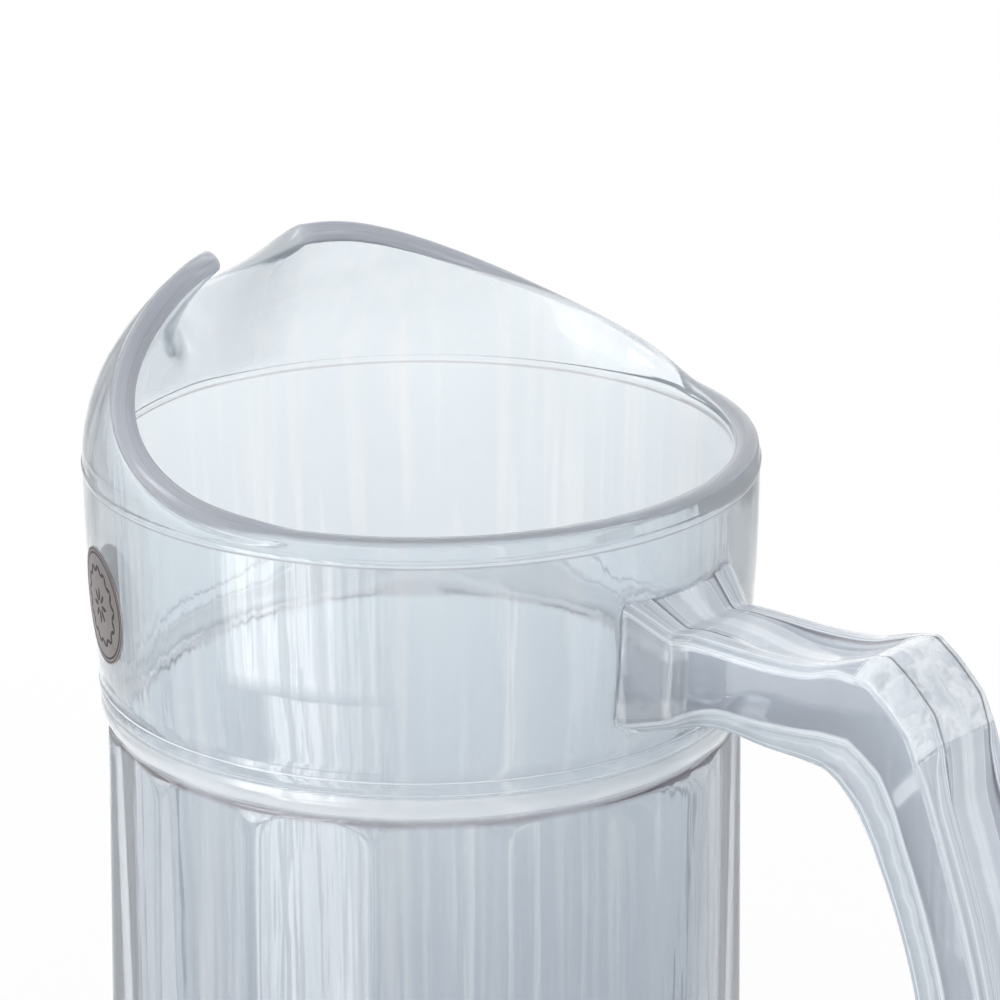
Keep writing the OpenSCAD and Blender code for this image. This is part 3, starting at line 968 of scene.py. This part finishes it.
# %% Floor
ahead_x, ahead_y = 0.6547, -0.7559
camera_left = (ahead_y, -ahead_x, 0)
floor_reach, floor_drop = 4.0, 0.2 * mm
floor_corners = [(x * floor_reach, y * floor_reach, 0) for x, y in ((-1, -1), (1, -1), (1, 1), (-1, 1))]
floor = link("floor", new_mesh("floor", floor_corners, [(0, 1, 2, 3)]))
floor.location.z = -floor_drop
pale_floor, floor_tree = new_finish("pale_floor")
bright_ground, side_ground = (1.15, 1.15, 1.15, 1), (0.48, 0.48, 0.49, 1)


def seen_rays(tree):
    """Camera rays, mirrored rays, and all rays that show a background: seen, mirrored or bent."""
    by_camera = tree.node("ShaderNodeLightPath", out="Is Camera Ray")
    mirrored, bent = by_camera.twin("Is Glossy Ray"), by_camera.twin("Is Transmission Ray")
    return by_camera, mirrored, by_camera.maths("MAXIMUM", mirrored).maths("MAXIMUM", bent)


by_camera, _, seen = seen_rays(floor_tree)
floor_place = floor_tree.node("ShaderNodeTexCoord", out="Object")
aside = (floor_place.vector("DOT_PRODUCT", camera_left, out="Value") - 0.06).maths("ABSOLUTE")
far_off = ramp(floor_place.vector("LENGTH", out="Value"), 0.15, 0.45)
ground = tint(ramp(aside, 0.1, 0.38) * (1 - by_camera), bright_ground, side_ground)
lit_ground = seen.node("ShaderNodeEmission", sockets={"Color": tint(by_camera, ground, white), "Strength": 1.0})
matt_ground = seen.node("ShaderNodeBsdfDiffuse", sockets={"Color": (0.86, 0.87, 0.88, 1)})
close_finish(mixed(seen * (0.85 + far_off * 0.15), matt_ground, lit_ground))
floor.data.materials.append(pale_floor)
print("floor is", 2 * floor_reach, "m wide")

# %% [markdown]
# ## The room
# The world stands for the room. It lights the jug evenly, and the camera sees it white. What the glass mirrors or
# bends has more to show: a darker ceiling and sides, paler on the window's side, with a soft pane. An image of a real
# studio would do this too, but a few sums of the direction are enough and read no file.

# %% Room
room = bpy.data.worlds.new("studio")
room.use_nodes = True
room.node_tree.nodes.clear()
scene.world = room
pane_way, room_shade = (0.1023, -0.9949, 0), (0.46, 0.43, 0.47, 1)
by_camera, mirrored, seen = seen_rays(Wire(room.node_tree))
way = seen.node("ShaderNodeTexCoord", out="Generated")
rising = way.node("ShaderNodeSeparateXYZ", sockets={"Vector": way}, out="Z")
leftwards = way.vector("DOT_PRODUCT", camera_left, out="Value")
window_side = ramp(leftwards, 0.15, 0.6)
ceiling = ramp(rising, 0.15, 0.8) * (1 - window_side * 0.8)
dark_sides = ramp((leftwards - 0.3).maths("ABSOLUTE"), 0.5, 0.95)
shade = ceiling.maths("MAXIMUM", dark_sides) * (seen - by_camera)
pane = smooth_step((way.vector("DOT_PRODUCT", pane_way, out="Value") - 0.84) * 10)
pane = pane * smooth_step(rising * 20) * (1 - smooth_step((rising - 0.5) * 10))
low_band = ramp(rising, 0.7, 0.05)
strength = seen * 0.4 + 0.6 + (low_band * 0.4 + pane * 1.5) * mirrored
sky = seen.node("ShaderNodeBackground", sockets={"Color": tint(shade, white, room_shade), "Strength": strength})
close_finish(sky, kind="ShaderNodeOutputWorld")
print("room has", len(room.node_tree.nodes), "nodes")

# %% [markdown]
# ## Lamps and a folded card
# Two large soft lamps light the jug evenly. The upright bright streaks on the collar and the panels are
# mirrored light from a window with folds in front of it. A photographer would stand a card of folded paper beside the
# glass, and so does this stage: a bent card whose folds are lit unequally, with a high strip for the collar and a low
# one, farther off, for the panels. Only reflections show it.


# %% Lamps
def lamp(name, place, power):
    """A soft square lamp that looks at the middle of the jug."""
    data = bpy.data.lights.new(name, "AREA")
    data.shape, data.size, data.energy = "SQUARE", 0.5, power
    made = bpy.data.objects.new(name, data)
    made.location = place
    made.rotation_euler = (Vector((0, 0, 0.12)) - Vector(place)).to_track_quat("-Z", "Y").to_euler()
    made.visible_glossy = False
    scene.collection.objects.link(made)
    return made


lamps = [lamp("key_lamp", (-0.75, -0.9, 1.1), 11), lamp("fill_lamp", (1.1, 0.5, 1.0), 7)]
print("lamps", [made.name for made in lamps])

# %% Folds of the card
near_r, far_r, far_spread, folds, fold_seed = 0.15, 0.25, 0.9, 52, 2
fold_edges = np.linspace(7, 59.5, folds + 1)
glow_angles, glow_levels = np.linspace(9, 58.5, 12), (1, 2, 2.7, 3.4, 4, 4.4, 4.5, 4.6, 4.8, 4.8, 3, 0.4)
fold_glows = np.interp(fold_edges[:-1], glow_angles, glow_levels)
fold_glows *= np.random.default_rng(fold_seed).uniform(0.25, 1.75, folds)
low_shares = np.interp(fold_edges[:-1], (40, 45), (0.85, 0))


def plan(radius, turn, z):
    """A place by its distance from the jug's axis, its turn to the camera's left and its height."""
    ahead, left = radius * math.cos(turn), radius * math.sin(turn)
    return (ahead_x * ahead + ahead_y * left, ahead_y * ahead - ahead_x * left, z)


card_points, card_glows = [], []
for first, last, glow, low_share in zip(fold_edges, fold_edges[1:], fold_glows, low_shares):
    for fold_turn in np.radians((first, last)):
        low_strip = [(far_r, fold_turn / far_spread, z, low_share) for z in (0.001, 0.079)]
        high_strip = [(near_r, fold_turn, z, lit) for z, lit in ((0.114, 0), (0.12, 1), (0.17, 1))]
        card_points += [plan(r, turn, z) for r, turn, z, _ in low_strip + high_strip]
        card_glows += [glow * lit for *_, lit in low_strip + high_strip]
print("card has", folds, "folds, the brightest at", round(float(fold_glows.max()), 2))

# %% Folded card
column = 5
card_faces = [
    (2 * column * i + k, 2 * column * i + k + 1, 2 * column * i + k + column + 1, 2 * column * i + k + column)
    for i in range(folds)
    for k in (0, 2, 3)
]
arc_card = link("arc_card", new_mesh("arc_card", card_points, card_faces, {"glow": card_glows}))
lit_paper, paper_tree = new_finish("lit_paper")
fold_glow = paper_tree.node("ShaderNodeAttribute", {"attribute_name": "glow"}, out="Color")
close_finish(fold_glow.node("ShaderNodeEmission", sockets={"Color": fold_glow, "Strength": 1.0}))
arc_card.data.materials.append(lit_paper)
arc_card.visible_camera = arc_card.visible_diffuse = arc_card.visible_transmission = arc_card.visible_shadow = False
print("card has", len(card_faces), "faces")
